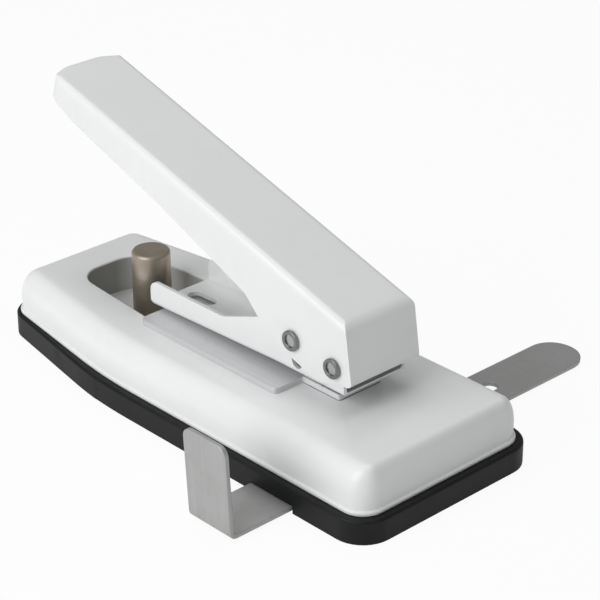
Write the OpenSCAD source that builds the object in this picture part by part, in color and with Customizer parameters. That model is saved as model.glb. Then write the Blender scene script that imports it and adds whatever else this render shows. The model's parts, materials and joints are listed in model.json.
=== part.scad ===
// ID card slot punch: a desk punch with a long lever, an open throat for the
// card and an adjustable side guide. Millimetres, +Z up. The origin is the
// centre of the underside of the base; +X points to the pivot end of the lever,
// and -Y is the side on which the guide's fence stands.
// Distances called "from the pivot end" are measured along the base from its
// +X end.

/* [Base] */
// Length of the base
base_l = 225; // [205:1:260]
// Width of the base over its straight part
base_w = 93; // [84:1:110]
// Width of the base at its nose
nose_w = 71; // [60:1:80]
// Length of the tapered nose part
taper_l = 75; // [50:1:90]
// Corner radius of the base in plan
corner_r = 13; // [12.5:0.5:18]
// Height of the black chip tray
tray_h = 9.8; // [8.5:0.1:14]
// Wall of the chip tray
tray_wall = 2.2; // [1.6:0.1:2.6]
// Floor of the chip tray
tray_floor = 1.8; // [1.2:0.1:2.2]
// Black ledge that shows round the foot of the cover
ledge = 3.1; // [2.2:0.1:3.5]
// Thickness of the steel base plate
plate_t = 3; // [2:0.5:4]

/* [Cover] */
// Height of the white cover above the tray
cover_h = 18.4; // [16:0.2:26]
// Wall of the cover
cover_t = 2.4; // [1.6:0.1:3]
// How far the rounding of the cover's top edge reaches inwards
roll_in = 8; // [5:0.2:8.2]
// How far the same rounding reaches down
roll_down = 11; // [8:0.5:12]
// How far the rolled lip at the cover's foot stands out
lip_out = 0.9; // [0.4:0.1:1.2]
// Height of the rolled lip
lip_h = 1.8; // [1.2:0.1:2.6]
// Half width of the recess at its nose end
recess_nose = 16; // [13:0.5:18]
// Half width of the recess under the card table
recess_half = 20; // [18:0.5:23]
// Nose end of the recess, from the pivot end
recess_far = 199; // [190:1:204]
// Tail end of the recess, from the pivot end
recess_near = 74; // [71:1:78]
// Corner radius of the recess at the nose
recess_r = 12; // [8:0.5:13]
// Sheet of the dark collar that lines the recess
collar_t = 2; // [1.2:0.1:2.4]

/* [Lower jaw] */
// Thickness of the bright card table
table_t = 2.4; // [1.6:0.1:4]
// Width of the card table
table_w = 51; // [46:1:56]
// Nose end of the card table, from the pivot end
table_far = 147; // [135:1:150]
// Tail end of the table's wings, from the pivot end
table_near = 68; // [64:1:69]
// Width of the table's tongue under the frame
tongue_w = 22; // [21:0.5:24]
// Tail end of the tongue, from the pivot end
tongue_near = 48.5; // [47:0.5:49]
// Height of the throat at its back, over the die
throat_h = 3.6; // [2.8:0.1:4.2]
// Depth of the card behind the slot's centre line
slot_margin = 8.5; // [7.5:0.5:10]
// Length of the punched slot
slot_l = 14; // [10:0.5:15]
// Width of the punched slot
slot_w = 3; // [2.5:0.1:4]
// Gap all round between the blade and the die
die_clearance = 0.06; // [0.03:0.01:0.1]
// Size of the hardened die along the base
die_l = 11; // [9:0.5:13]
// Size of the hardened die across the base
die_w = 18; // [17:0.5:18.5]
// Depth of the hardened die
die_h = 8; // [6:0.5:10]

/* [Frame] */
// Width of the white frame over its side plates
frame_w = 32; // [30:0.5:34]
// Sheet thickness of the frame
frame_t = 1.6; // [1.2:0.1:1.9]
// Nose end of the frame, from the pivot end
frame_far = 151.3; // [148:0.1:155]
// Tail end of the frame, from the pivot end
frame_near = 41; // [40:0.5:43]
// Height of the frame's front bar over the level part of its web
bar_h = 8.5; // [7.5:0.1:10]
// Angle at which the bar's web slopes down to the nose
web_slope = 2; // [1:0.1:2.1]
// Outer bend radius of the frame
frame_bend = 2.6; // [2.2:0.1:3.5]

/* [Lever] */
// Sheet thickness of the lever
handle_t = 1.5; // [1:0.1:1.6]
// Length of the lever from the pivot to its tip
handle_l = 179; // [165:1:190]
// Height of the lever's top above the pivot
handle_top = 19.8; // [19:0.2:22]
// Depth of the lever's flange at the tip
tip_depth = 9.6; // [8:0.2:12]
// Depth of the lever's flange at the middle
mid_depth = 15.6; // [13:0.2:17]
// Depth of the lever's flange in front of the frame
heel_depth = 21; // [19:0.2:22]
// Rounding of the lever's long top edges
handle_edge_r = 3; // [2:0.2:5]
// Rounding of the lever's tip, seen from above
tip_r = 7; // [4:0.5:12]
// Angle of the raised lever above level
rest_angle = 16.5; // [14:0.5:17]
// Angle the lever swings through
travel = 25; // [20:0.5:25]
// Pivot of the lever, from the pivot end
pivot_at = 44.8; // [44:0.1:46]
// Height of the pivot above the frame's underside
pivot_h = 11.9; // [11.7:0.1:12.5]
// Diameter of the pivot pin and the drive pin
pin_d = 5; // [4:0.1:5.6]
// Distance between the pivot and the drive pin
drive_r = 22.2; // [21.5:0.1:23]
// Angle of the drive pin above level when the lever is raised
drive_rise = 7.8; // [6:0.1:10]
// Diameter of the drive pin's caps
drive_cap_d = 8.2; // [7.4:0.1:10]
// Diameter of the pivot pin's caps
pivot_cap_d = 8; // [7.4:0.1:10]
// Wire of the return spring
spring_wire = 1.4; // [1:0.1:1.6]

/* [Stop post] */
// Diameter of the stop post
post_d = 16; // [12:0.5:18]
// Stop post, from the pivot end
post_at = 170; // [165:1:172]

/* [Side guide] */
// Width of the guide strip
guide_w = 22.6; // [18:0.2:26]
// Sheet thickness of the guide
guide_t = 1.8; // [1.2:0.1:2]
// Centre line of the guide, from the pivot end
guide_at = 47.6; // [42:0.1:54]
// Distance of the fence from the base's centre line
fence_out = 76.2; // [70:0.5:80]
// Top of the fence above the table top it stands on
fence_top = 40; // [34:0.5:50]
// How far the fence leans out at its top
fence_lean = 2.2; // [0:0.1:3]
// Reach of the guide's tail from the base's centre line
tail_out = 121.5; // [115:0.5:130]
// Width of the slot in the guide
guide_slot_w = 6.4; // [6:0.1:8]

/* [Hidden] */
$fn = 48;
run = 0.3;          // running clearance between sheet parts
handle_w = frame_w + 2 * (run + handle_t);
fit = 0.05;         // radial clearance of a pin in its bore
seat = 0.1;         // clearance round a piece that is seated in a pocket
over = 1;           // how far a cut runs past the face it opens
arc_step = 10;      // degrees in each step of a rounded outline

// Heights of the stack, from the table up
plate_z = tray_h;
plate_top = plate_z + plate_t;
cover_top = tray_h + cover_h;
table_z = cover_top;
table_top = table_z + table_t;
frame_z = table_top + throat_h;
web_top = frame_z + frame_t;
pivot_z = frame_z + pivot_h;

// Places along the base
function from_end(d) = base_l / 2 - d;
pivot_x = from_end(pivot_at);
post_x = from_end(post_at);
guide_x = from_end(guide_at);

// The drive pin, from the raised lever to the lowered one
function drive_pos(swing) = [
    pivot_x - drive_r * cos(drive_rise - swing),
    pivot_z + drive_r * sin(drive_rise - swing)
];
pin_rest = drive_pos(0);
pin_low = drive_pos(travel);
stroke = pin_rest.y - pin_low.y;
pin_reach = drive_r - (pivot_x - pin_low.x);
punch_x = (pin_rest.x + pin_low.x) / 2 - (drive_r - drive_r * cos(drive_rise)) / 2;
backstop_x = punch_x + slot_margin;

// Lever, worked out level and then raised
ceiling = handle_top - handle_t;
low_angle = travel - rest_angle;
heel_x = -50;
rear_at = 9.6;      // rear wall behind the pivot, at the pivot's height
rear_lean = 25;
rear_top_r = 6;     // rounding of the top edge at the rear wall
tip_top_r = 4;      // rounding of the top edge at the tip
post_reach = post_at - pivot_at + post_d / 2;
post_top = pivot_z + ceiling / cos(low_angle) - post_reach * tan(low_angle) - run;

// Guide strip under the tray
guide_z = 1.1;
floor_z = guide_z + guide_t + run;
guide_screw_y = 0;
guide_slot_near = -22;
guide_slot_far = 75.5;

// Fasteners
bolt_d = 3;
bolt_at = tongue_near + 5.5;
bolt_y = 7.5;
screw_d = 3;
screw_in = 16;      // tail screws, in from both edges
screw_mid = 96;     // middle screws, from the pivot end
screw_side = 14;    // middle and nose screws, in from the side
screw_nose = 20;    // nose screws, in from the nose
screw_places = [
    [from_end(screw_in), base_w / 2 - screw_in],
    [from_end(screw_mid), base_w / 2 - screw_side],
    [screw_nose - base_l / 2, nose_w / 2 - screw_side]
];
post_screw_d = 6;

// ---------------------------------------------------------------- outlines

function unit(v) = v / norm(v);

// Arc of radius r in the corner a-b-c
function corner_arc(a, b, c, r) =
    let (
        u = unit(a - b),
        v = unit(c - b),
        half = acos(u * v) / 2,
        p = b + u * r / tan(half),
        q = b + v * r / tan(half),
        m = b + unit(u + v) * r / sin(half),
        from = atan2(p.y - m.y, p.x - m.x),
        sweep = (atan2(q.y - m.y, q.x - m.x) - from + 540) % 360 - 180,
        n = max(1, ceil(abs(sweep) / arc_step))
    )
    [for (i = [0:n]) m + r * [cos(from + sweep * i / n), sin(from + sweep * i / n)]];

// Outline through corners [x, y, radius]
function rounded(p) = [
    for (i = [0:len(p) - 1])
        let (
            a = p[(i + len(p) - 1) % len(p)],
            b = p[i],
            c = p[(i + 1) % len(p)]
        )
        each (b[2] == 0
            ? [[b.x, b.y]]
            : corner_arc([a.x, a.y], [b.x, b.y], [c.x, c.y], b[2]))
];

// Corner centres of the base outline, on one side
base_centres = [
    [-base_l / 2 + corner_r, nose_w / 2 - corner_r],
    [-base_l / 2 + taper_l, base_w / 2 - corner_r],
    [base_l / 2 - corner_r, base_w / 2 - corner_r]
];

// Base-shaped slab, drawn in from the tray's outline; its top edge is rounded by
// edge = [inwards, down]
module base_slab(inset, z, h, edge = [0, 0]) {
    r = corner_r - inset;
    steps = edge.x == 0 ? 0 : 90 / arc_step;
    roll = [
        for (i = [0:steps])
            [r - edge.x * (1 - cos(arc_step * i)), h - edge.y * (1 - sin(arc_step * i))]
    ];
    translate([0, 0, z]) hull() {
        for (p = base_centres, side = [-1, 1]) {
            translate([p.x, side * p.y, 0]) rotate_extrude($fn = 36)
                polygon(concat([[0, 0], [r, 0]], roll, [[0, h]]));
        }
    }
}

// Solid with a side outline, across the base between -w / 2 and w / 2
module side_solid(outline, w) {
    translate([0, w / 2, 0])
        rotate([90, 0, 0])
            linear_extrude(w) polygon(outline);
}

module at_screws() {
    for (p = screw_places, side = [-1, 1]) {
        translate([p.x, side * p.y, 0]) children();
    }
}

module at_bolts() {
    for (side = [-1, 1]) {
        translate([from_end(bolt_at), side * bolt_y, 0]) children();
    }
}

// Slot with round ends, along Y
module slot_y(w, l, h) {
    translate([-w / 2, -(l - w) / 2, 0]) cube([w, l - w, h]);
    for (side = [-1, 1]) {
        translate([0, side * (l - w) / 2, 0]) cylinder(h = h, d = w);
    }
}

// Hole across the base, at [x, z]
module cross_hole(p, d, l) {
    translate([p.x, l / 2, p.y]) rotate([90, 0, 0]) cylinder(h = l, d = d);
}

// ---------------------------------------------------------------- base

rim = 3;            // width of the tray's foot rim
rail_t = 2;         // wall of the rails that the strip slides between
rail_lift = 0.4;    // rails clear the table top
shelf_h = 2;        // shelf that the base plate rests on
shelf_in = 8;       // how far the shelf reaches in from the tray's outline

module chip_tray() {
    shelf_z = tray_h - shelf_h;
    color([0.13, 0.13, 0.14]) difference() {
        union() {
            difference() {
                base_slab(0, 0, tray_h, [1.2, 1.2]);
                base_slab(rim, -over, floor_z + over);
            }
            for (side = [-1, 1]) {
                translate([
                    guide_x + side * (guide_w / 2 + run + rail_t / 2) - rail_t / 2,
                    -base_w / 2 + rim / 2,
                    rail_lift
                ])
                    cube([rail_t, base_w - rim, floor_z - rail_lift + over]);
            }
            at_screws() translate([0, 0, rail_lift]) cylinder(h = floor_z, d = 3 * screw_d);
        }
        base_slab(tray_wall, floor_z + tray_floor, shelf_z - floor_z - tray_floor);
        base_slab(shelf_in, shelf_z - over, shelf_h + 2 * over);
        translate([guide_x - guide_w / 2 - run, -base_w, -over])
            cube([guide_w + 2 * run, 2 * base_w, floor_z + over]);
        at_screws() translate([0, 0, -over]) {
            cylinder(h = tray_h, d = screw_d + 0.4);
            cylinder(h = over + rail_lift + 2, d = 2 * screw_d + 0.4);
        }
        translate([guide_x, guide_screw_y, 0]) cylinder(h = tray_h, d = guide_slot_w + 2);
        translate([post_x, 0, 0]) cylinder(h = tray_h, d = 2 * post_screw_d + 2);
    }
}

module base_plate() {
    color([0.5, 0.5, 0.5]) difference() {
        base_slab(ledge + cover_t + run, plate_z, plate_t);
        translate([0, 0, plate_z - over]) {
            at_screws() cylinder(h = plate_t + 2 * over, d = screw_d + 0.4);
            at_bolts() cylinder(h = plate_t + 2 * over, d = bolt_d + 2 * fit);
            translate([punch_x, 0, 0]) slot_y(slot_w + 6, slot_l + 6, plate_t + 2 * over);
            translate([post_x, 0, 0]) cylinder(h = plate_t + 2 * over, d = post_screw_d + 2 * fit);
            translate([guide_x, guide_screw_y, 0])
                cylinder(h = plate_t + 2 * over, d = guide_slot_w - 2 + 2 * fit);
        }
    }
}

// Plan of the recess in the cover, grown by g
function recess(g) = rounded([
    [from_end(recess_far) - g, -recess_nose - g, recess_r + g],
    [from_end(table_far), -recess_half - g, 0],
    [from_end(recess_near) + g, -recess_half - g, 2 + g],
    [from_end(recess_near) + g, recess_half + g, 2 + g],
    [from_end(table_far), recess_half + g, 0],
    [from_end(recess_far) - g, recess_nose + g, recess_r + g]
]);

block_w = tongue_w - 4 * seat;
block_far = pivot_at + 36;
rim_t = 0.8;        // cover sheet left over the collar's top edge
collar_top = cover_top - rim_t;

// Passage of the die block through the cover and the collar
module block_passage() {
    translate([from_end(block_far) - seat, -block_w / 2 - seat, plate_top - over])
        cube([block_far - tongue_near + 2 * seat, block_w + 2 * seat, cover_h + over]);
}

module top_cover() {
    boss_d = 8;
    wall = cover_t - lip_out;
    color([0.94, 0.94, 0.94]) difference() {
        union() {
            difference() {
                union() {
                    base_slab(ledge + lip_out, tray_h, cover_h, [roll_in, roll_down]);
                    base_slab(ledge, tray_h, lip_h, [lip_h / 2, lip_h / 2]);
                }
                base_slab(ledge + cover_t, tray_h - over, cover_h - cover_t + over,
                    [roll_in - wall, roll_down - cover_t]);
            }
            at_screws() translate([0, 0, plate_top])
                cylinder(h = cover_h - plate_t - cover_t / 2, d = boss_d);
        }
        translate([0, 0, collar_top - over]) linear_extrude(rim_t + 2 * over) polygon(recess(0));
        translate([0, 0, plate_top - over])
            linear_extrude(collar_top - plate_top + over) polygon(recess(collar_t));
        block_passage();
        at_screws() translate([0, 0, plate_top - over])
            cylinder(h = cover_h - plate_t - cover_t, d = screw_d + 2 * fit);
    }
}

module recess_collar() {
    color([0.35, 0.35, 0.35]) difference() {
        translate([0, 0, plate_top]) linear_extrude(collar_top - plate_top)
            difference() {
                polygon(recess(collar_t));
                polygon(recess(0));
            }
        block_passage();
    }
}

module base_screws() {
    head_h = 1.8;
    head_z = rail_lift + 2 - head_h;
    color([0.3, 0.3, 0.32]) at_screws() difference() {
        union() {
            translate([0, 0, head_z]) cylinder(h = head_h, d = 2 * screw_d);
            translate([0, 0, head_z]) cylinder(h = plate_top + 8 - head_z, d = screw_d);
        }
        for (turn = [0, 90]) {
            rotate([0, 0, turn])
                translate([-screw_d / 2, -0.3, head_z - over])
                    cube([screw_d, 0.6, over + 1]);
        }
    }
}

// ---------------------------------------------------------------- lower jaw

module die_block() {
    color([0.42, 0.43, 0.45]) difference() {
        translate([from_end(block_far), -block_w / 2, plate_top])
            cube([block_far - tongue_near, block_w, table_z - plate_top]);
        translate([punch_x - die_l / 2 - seat, -die_w / 2 - seat, table_top - die_h])
            cube([die_l + 2 * seat, die_w + 2 * seat, die_h]);
        translate([punch_x, 0, plate_top - over]) slot_y(slot_w + 4, slot_l + 4, cover_h);
        at_bolts() translate([0, 0, plate_top - over]) cylinder(h = cover_h, d = bolt_d + 2 * fit);
    }
}

module card_table() {
    near = from_end(table_near);
    color([0.75, 0.76, 0.77]) translate([0, 0, table_z]) difference() {
        linear_extrude(table_t) polygon(rounded([
            [from_end(table_far), -table_w / 2, 3],
            [near, -table_w / 2, 2],
            [near, -tongue_w / 2, 1],
            [from_end(tongue_near), -tongue_w / 2, 1],
            [from_end(tongue_near), tongue_w / 2, 1],
            [near, tongue_w / 2, 1],
            [near, table_w / 2, 2],
            [from_end(table_far), table_w / 2, 3]
        ]));
        translate([punch_x - die_l / 2 - seat, -die_w / 2 - seat, -over])
            cube([die_l + 2 * seat, die_w + 2 * seat, table_t + 2 * over]);
        at_bolts() translate([0, 0, -over]) cylinder(h = table_t + 2 * over, d = bolt_d + 2 * fit);
    }
}

module die_insert() {
    land = 3;
    color([0.6, 0.6, 0.62]) difference() {
        translate([punch_x - die_l / 2, -die_w / 2, table_top - die_h]) cube([die_l, die_w, die_h]);
        translate([punch_x, 0, table_top - die_h - over])
            slot_y(slot_w + 2 * die_clearance, slot_l + 2 * die_clearance, die_h + 2 * over);
        translate([punch_x, 0, table_top - die_h - over])
            slot_y(slot_w + 1.2, slot_l + 1.2, die_h - land + over);
    }
}

module throat_spacer() {
    color([0.42, 0.43, 0.45]) difference() {
        translate([backstop_x, -tongue_w / 2, table_top])
            cube([from_end(tongue_near) - backstop_x, tongue_w, throat_h]);
        at_bolts() translate([0, 0, table_top - over])
            cylinder(h = throat_h + 2 * over, d = bolt_d + 2 * fit);
    }
}

// ---------------------------------------------------------------- frame

bar_top = frame_z + bar_h;
shoulder = 7.5;     // rise of the frame between its bar and the lever
bend_x = pivot_x - 33;
nose_drop = (bend_x - from_end(frame_far)) * tan(web_slope);

frame_outline = rounded([
    [from_end(frame_far), frame_z - nose_drop, 3.5],
    [bend_x, frame_z, 0],
    [from_end(frame_near), frame_z, 1.5],
    [from_end(frame_near), pivot_z + 3, 4],
    [pivot_x - 3, pivot_z + 12, 5],
    [pivot_x - 27, pivot_z + 12.4, 6],
    [pivot_x - 43, bar_top + shoulder, 12],
    [pivot_x - 63, bar_top, 14],
    [from_end(frame_far), bar_top, 4]
]);

// Bar with rounded lower edges, level behind the web's bend and sloping before it
module bar(w, z, r) {
    tall = pivot_h + 40;
    section = rounded([
        [-w / 2, 0, r], [w / 2, 0, r], [w / 2, tall, 0], [-w / 2, tall, 0]
    ]);
    n = len(section);
    stations = [
        [-base_l, z - (base_l + bend_x) * tan(web_slope)], [bend_x, z], [base_l, z]
    ];
    points = [for (at = stations, p = section) [at.x, p.x, at.y + p.y]];
    skin = [
        for (i = [0, n], k = [0:n - 1])
            let (k1 = (k + 1) % n)
            [i + k, i + n + k, i + n + k1, i + k1]
    ];
    ends = [[for (k = [0:n - 1]) k], [for (k = [3 * n - 1:-1:2 * n]) k]];
    polyhedron(points, concat(skin, ends));
}

// Bent-up channel with the side outline of the frame
module channel() {
    difference() {
        intersection() {
            side_solid(frame_outline, frame_w + 2 * over);
            bar(frame_w, frame_z, frame_bend);
        }
        bar(frame_w - 2 * frame_t, web_top, frame_bend - frame_t);
    }
}

// Curved slot in the side plates that the drive pin swings in
module drive_slot(w) {
    first = 180 - drive_rise;
    last = first + travel;
    function arc(r, from, to, n) = [
        for (i = [0:n]) let (a = from + (to - from) * i / n) r * [cos(a), sin(a)]
    ];
    function end_cap(at, from) = [
        for (a = [15:15:165]) drive_r * [cos(at), sin(at)] + w / 2 * [cos(from + a), sin(from + a)]
    ];
    translate([pivot_x, frame_w, pivot_z]) rotate([90, 0, 0]) linear_extrude(2 * frame_w)
        polygon(concat(
            arc(drive_r + w / 2, first, last, 8),
            end_cap(last, last),
            arc(drive_r - w / 2, last, first, 8),
            end_cap(first, first + 180)
        ));
}

module frame() {
    window_at = 138.5;
    color([0.95, 0.95, 0.95]) difference() {
        channel();
        cross_hole([pivot_x, pivot_z], pin_d + 2 * fit, 2 * frame_w);
        drive_slot(pin_d + 2 * run);
        translate([punch_x, 0, frame_z - over])
            slot_y(slot_w + 4 * die_clearance, slot_l + 4 * die_clearance, frame_t + 2 * over);
        at_bolts() translate([0, 0, frame_z - over])
            cylinder(h = frame_t + 2 * over, d = bolt_d + 2 * fit);
        translate([from_end(window_at), 0, frame_z - nose_drop - over]) rotate([0, 0, 90])
            slot_y(6, 15, frame_t + nose_drop + 2 * over);
    }
}

module frame_bolts() {
    head_h = 2.4;
    head_d = 5.5;
    hex_d = 2.8;
    color([0.35, 0.35, 0.37]) at_bolts() difference() {
        union() {
            translate([0, 0, plate_z]) cylinder(h = web_top - plate_z, d = bolt_d);
            translate([0, 0, web_top]) cylinder(h = head_h, d = head_d);
        }
        translate([0, 0, web_top + head_h - 1.6]) cylinder(h = 2, d = hex_d, $fn = 6);
    }
}

// ---------------------------------------------------------------- punch

punch_l = 12;       // size of the punch's head along the base
punch_w = 20;       // size of the punch's head across the base
head_low = 3.4;     // head below the drive pin's centre
head_high = 5.6;    // head above the drive pin's centre
cheek_t = 3;
cheek_h = 13;

module cheek(side) {
    x = punch_x + side * (punch_l / 2 + seat) + (side < 0 ? -cheek_t : 0);
    color([0.55, 0.56, 0.58]) side_solid([
        [x, web_top], [x + cheek_t, web_top],
        [x + cheek_t, web_top + cheek_h], [x, web_top + cheek_h]
    ], 2 * (leg_y - spring_wire / 2 - run));
}

module cheek_front() {
    cheek(-1);
}

module cheek_rear() {
    cheek(1);
}

module punch() {
    head_z = pin_rest.y - head_low;
    blade_z = frame_z + 0.8;
    slack = 2 * fit + 0.4;
    color([0.7, 0.7, 0.72]) difference() {
        union() {
            translate([punch_x - punch_l / 2, -punch_w / 2, head_z])
                cube([punch_l, punch_w, head_low + head_high]);
            translate([punch_x, 0, blade_z]) slot_y(slot_w, slot_l, head_z - blade_z + over);
        }
        // the pin swings on an arc, so its hole is wider than it is high
        for (p = [pin_rest.x, pin_low.x, pivot_x - drive_r]) {
            cross_hole([p, pin_rest.y], pin_d + slack, 2 * punch_w);
        }
    }
}

// ---------------------------------------------------------------- pins

cap_t = 1.6;
cap_dish = 0.7;

// Dished cap pressed on the end of a pin
module cap(d) {
    land = (d - pin_d) / 2;
    edge = 0.3 * land;
    rotate_extrude() polygon([
        [pin_d / 2, 0], [d / 2, 0], [d / 2, cap_t - edge], [d / 2 - edge, cap_t],
        [d / 2 - 2 * edge, cap_t], [pin_d / 2, cap_t - cap_dish]
    ]);
}

module cap_pair(p, d) {
    for (side = [-1, 1]) {
        translate([p.x, side * handle_w / 2, p.y]) rotate([-side * 90, 0, 0]) cap(d);
    }
}

module pin(p) {
    color([0.6, 0.6, 0.62]) cross_hole(p, pin_d, handle_w + 2 * (cap_t - cap_dish));
}

module drive_pin() {
    pin(pin_rest);
}

module drive_pin_caps() {
    color([0.62, 0.62, 0.63]) cap_pair(pin_rest, drive_cap_d);
}

module pivot_pin() {
    pin([pivot_x, pivot_z]);
}

module pivot_pin_caps() {
    color([0.62, 0.62, 0.63]) cap_pair([pivot_x, pivot_z], pivot_cap_d);
}

// ---------------------------------------------------------------- spring

coil_turns = 5;
coil_gap = 0.5;
coil_r = pin_d / 2 + coil_gap + spring_wire / 2;
coil_pitch = spring_wire + coil_gap;
leg_y = frame_w / 2 - frame_t - coil_gap - spring_wire / 2;
ring = 8;           // rings on each turn of the spring
sides = 6;

// Wire of one coil: a leg under the drive pin, the turns, and a foot on the web
function coil_path(side) =
    let (
        tilt = drive_rise + asin((coil_r - (pin_d + spring_wire) / 2 - 2 * fit) / drive_r),
        start = 270 - tilt,
        finish = 180 + 360 * coil_turns,
        count = coil_turns * ring - 2,
        inner_y = leg_y - coil_turns * coil_pitch,
        tip = coil_r * [cos(start), sin(start)] + (drive_r + pin_d) * [-cos(tilt), sin(tilt)],
        foot_z = web_top + spring_wire / 2 - pivot_z
    )
    concat(
        [[tip.x, side * leg_y, tip.y]],
        [for (i = [0:count])
            let (a = start + (finish - start) * i / count)
            [coil_r * cos(a), side * (leg_y + (inner_y - leg_y) * i / count), coil_r * sin(a)]],
        [
            [-coil_r, side * inner_y, foot_z + 1.5],
            [-coil_r - 0.5, side * inner_y, foot_z + 0.5],
            [-coil_r - 1.5, side * inner_y, foot_z],
            [-coil_r - 6, side * inner_y, foot_z]
        ]
    );

// Round tube along a path
module tube(path, r) {
    last = len(path) - 1;
    function along(i) = unit(path[min(i + 1, last)] - path[max(i - 1, 0)]);
    function across(i) =
        let (t = along(i), ref = [0, 1, 0])
        unit(ref - (ref * t) * t);
    points = [
        for (i = [0:last])
            let (n = across(i), b = cross(along(i), n))
            for (k = [0:sides - 1])
                path[i] + r * (cos(360 * k / sides) * n + sin(360 * k / sides) * b)
    ];
    skin = [
        for (i = [0:last - 1], k = [0:sides - 1])
            let (a = i * sides + k, b = i * sides + (k + 1) % sides)
            each [[a, b, b + sides], [a, b + sides, a + sides]]
    ];
    ends = [
        for (k = [1:sides - 2])
            each [[0, k + 1, k], [last * sides, last * sides + k, last * sides + k + 1]]
    ];
    polyhedron(points, concat(skin, ends));
}

module return_spring() {
    color([0.5, 0.5, 0.52]) for (side = [-1, 1]) {
        translate([pivot_x, 0, pivot_z]) tube(coil_path(side), spring_wire / 2);
    }
}

// ---------------------------------------------------------------- lever

// Place of the lever's leaning rear wall at height w above the pivot
function rear_x(w) = rear_at - w * tan(rear_lean);

// Side of the level lever, pivot at the origin
lever_outline = rounded([
    [-handle_l, handle_top, tip_top_r],
    [-handle_l, handle_top - tip_depth, 3],
    [-handle_l + 22, handle_top - tip_depth - 3.4, 8],
    [-104, handle_top - mid_depth, 30],
    [heel_x, handle_top - heel_depth, 4],
    [-41, -6, 6],
    [-24, -10.6, 8],
    [-6, -11, 8],
    [rear_x(-2), -2, 2],
    [rear_x(handle_top), handle_top, rear_top_r]
]);

// The same drawn in by the sheet, and open below
lever_hollow = rounded([
    [-handle_l + handle_t, ceiling, tip_top_r - handle_t],
    [-handle_l + handle_t, -handle_top, 0],
    [rear_x(-handle_top) - handle_t / cos(rear_lean), -handle_top, 0],
    [rear_x(ceiling) - handle_t / cos(rear_lean), ceiling, rear_top_r - handle_t]
]);

// Side outline, pressed with rounded top edges and a rounded tip
module pressed(outline, w, top, r, tip_x, tip) {
    intersection() {
        side_solid(outline, w);
        translate([-handle_l - over, 0, 0]) rotate([90, 0, 90])
            linear_extrude(handle_l + 20) polygon(rounded([
                [-w / 2, -handle_l, 0], [w / 2, -handle_l, 0], [w / 2, top, r], [-w / 2, top, r]
            ]));
        translate([0, 0, -handle_l]) linear_extrude(2 * handle_l) polygon(rounded([
            [tip_x, -w / 2, tip], [handle_l, -w / 2, 0],
            [handle_l, w / 2, 0], [tip_x, w / 2, tip]
        ]));
    }
}

module level_handle() {
    difference() {
        pressed(lever_outline, handle_w, handle_top, handle_edge_r, -handle_l, tip_r);
        pressed(lever_hollow, handle_w - 2 * handle_t, ceiling, handle_edge_r - handle_t,
            -handle_l + handle_t, tip_r - handle_t);
    }
}

module handle() {
    color([0.93, 0.93, 0.92]) difference() {
        translate([pivot_x, 0, pivot_z]) rotate([0, rest_angle, 0]) level_handle();
        cross_hole([pivot_x, pivot_z], pin_d + 2 * fit, 2 * handle_w);
        cross_hole(pin_rest, pin_d + 2 * fit, 2 * handle_w);
    }
}

// ---------------------------------------------------------------- stop post

module stop_post() {
    edge = 1.4;
    key_d = 2;
    r = post_d / 2;
    color([0.55, 0.53, 0.5]) difference() {
        translate([post_x, 0, 0]) rotate_extrude() difference() {
            union() {
                translate([0, plate_top]) square([r, post_top - plate_top - edge]);
                translate([0, post_top - edge]) square([r - edge, edge]);
                translate([r - edge, post_top - edge]) intersection() {
                    circle(edge);
                    square(edge);
                }
            }
            translate([0, plate_top - over]) square([post_screw_d / 2 + fit, 13 + over]);
        }
        translate([post_x, 0, bar_top - 12]) rotate([0, 90, 225])
            translate([0, 0, r - 3]) cylinder(h = 5, d = key_d);
    }
}

module stop_post_screw() {
    head_h = 3;
    color([0.35, 0.35, 0.37]) translate([post_x, 0, 0]) difference() {
        union() {
            translate([0, 0, plate_z - head_h]) cylinder(h = head_h, d = 1.7 * post_screw_d);
            translate([0, 0, plate_z]) cylinder(h = plate_t + 12, d = post_screw_d);
        }
        translate([0, 0, plate_z - head_h - over]) cylinder(h = over + 2, d = 4.6, $fn = 6);
    }
}

// ---------------------------------------------------------------- side guide

module side_guide() {
    bend_r = 3.2;
    fence_r = 4;
    tail_r = guide_w / 2 - 0.4;
    foot_y = -fence_out;
    top_y = -fence_out - fence_lean;
    color([0.7, 0.71, 0.72]) difference() {
        translate([guide_x, 0, 0]) intersection() {
            rotate([90, 0, 90]) translate([0, 0, -guide_w / 2]) linear_extrude(guide_w)
                polygon(rounded([
                    [foot_y, guide_z, bend_r],
                    [tail_out, guide_z, 0],
                    [tail_out, guide_z + guide_t, 0],
                    [foot_y + guide_t, guide_z + guide_t, bend_r - guide_t],
                    [top_y + guide_t, fence_top, 0],
                    [top_y, fence_top, 0]
                ]));
            linear_extrude(fence_top) polygon(rounded([
                [-guide_w / 2, top_y, 0], [guide_w / 2, top_y, 0],
                [guide_w / 2, tail_out, tail_r], [-guide_w / 2, tail_out, tail_r]
            ]));
            side_solid(rounded([
                [-guide_w / 2, 0, 0], [guide_w / 2, 0, 0],
                [guide_w / 2, fence_top, fence_r], [-guide_w / 2, fence_top, fence_r]
            ]), 2 * tail_out);
        }
        translate([guide_x, (guide_slot_near + guide_slot_far) / 2, 0])
            slot_y(guide_slot_w, guide_slot_far - guide_slot_near, guide_z + guide_t + over);
    }
}

washer_t = 0.3;
guide_shank_d = guide_slot_w - 2;
shoulder_d = guide_slot_w - 0.4;

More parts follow.
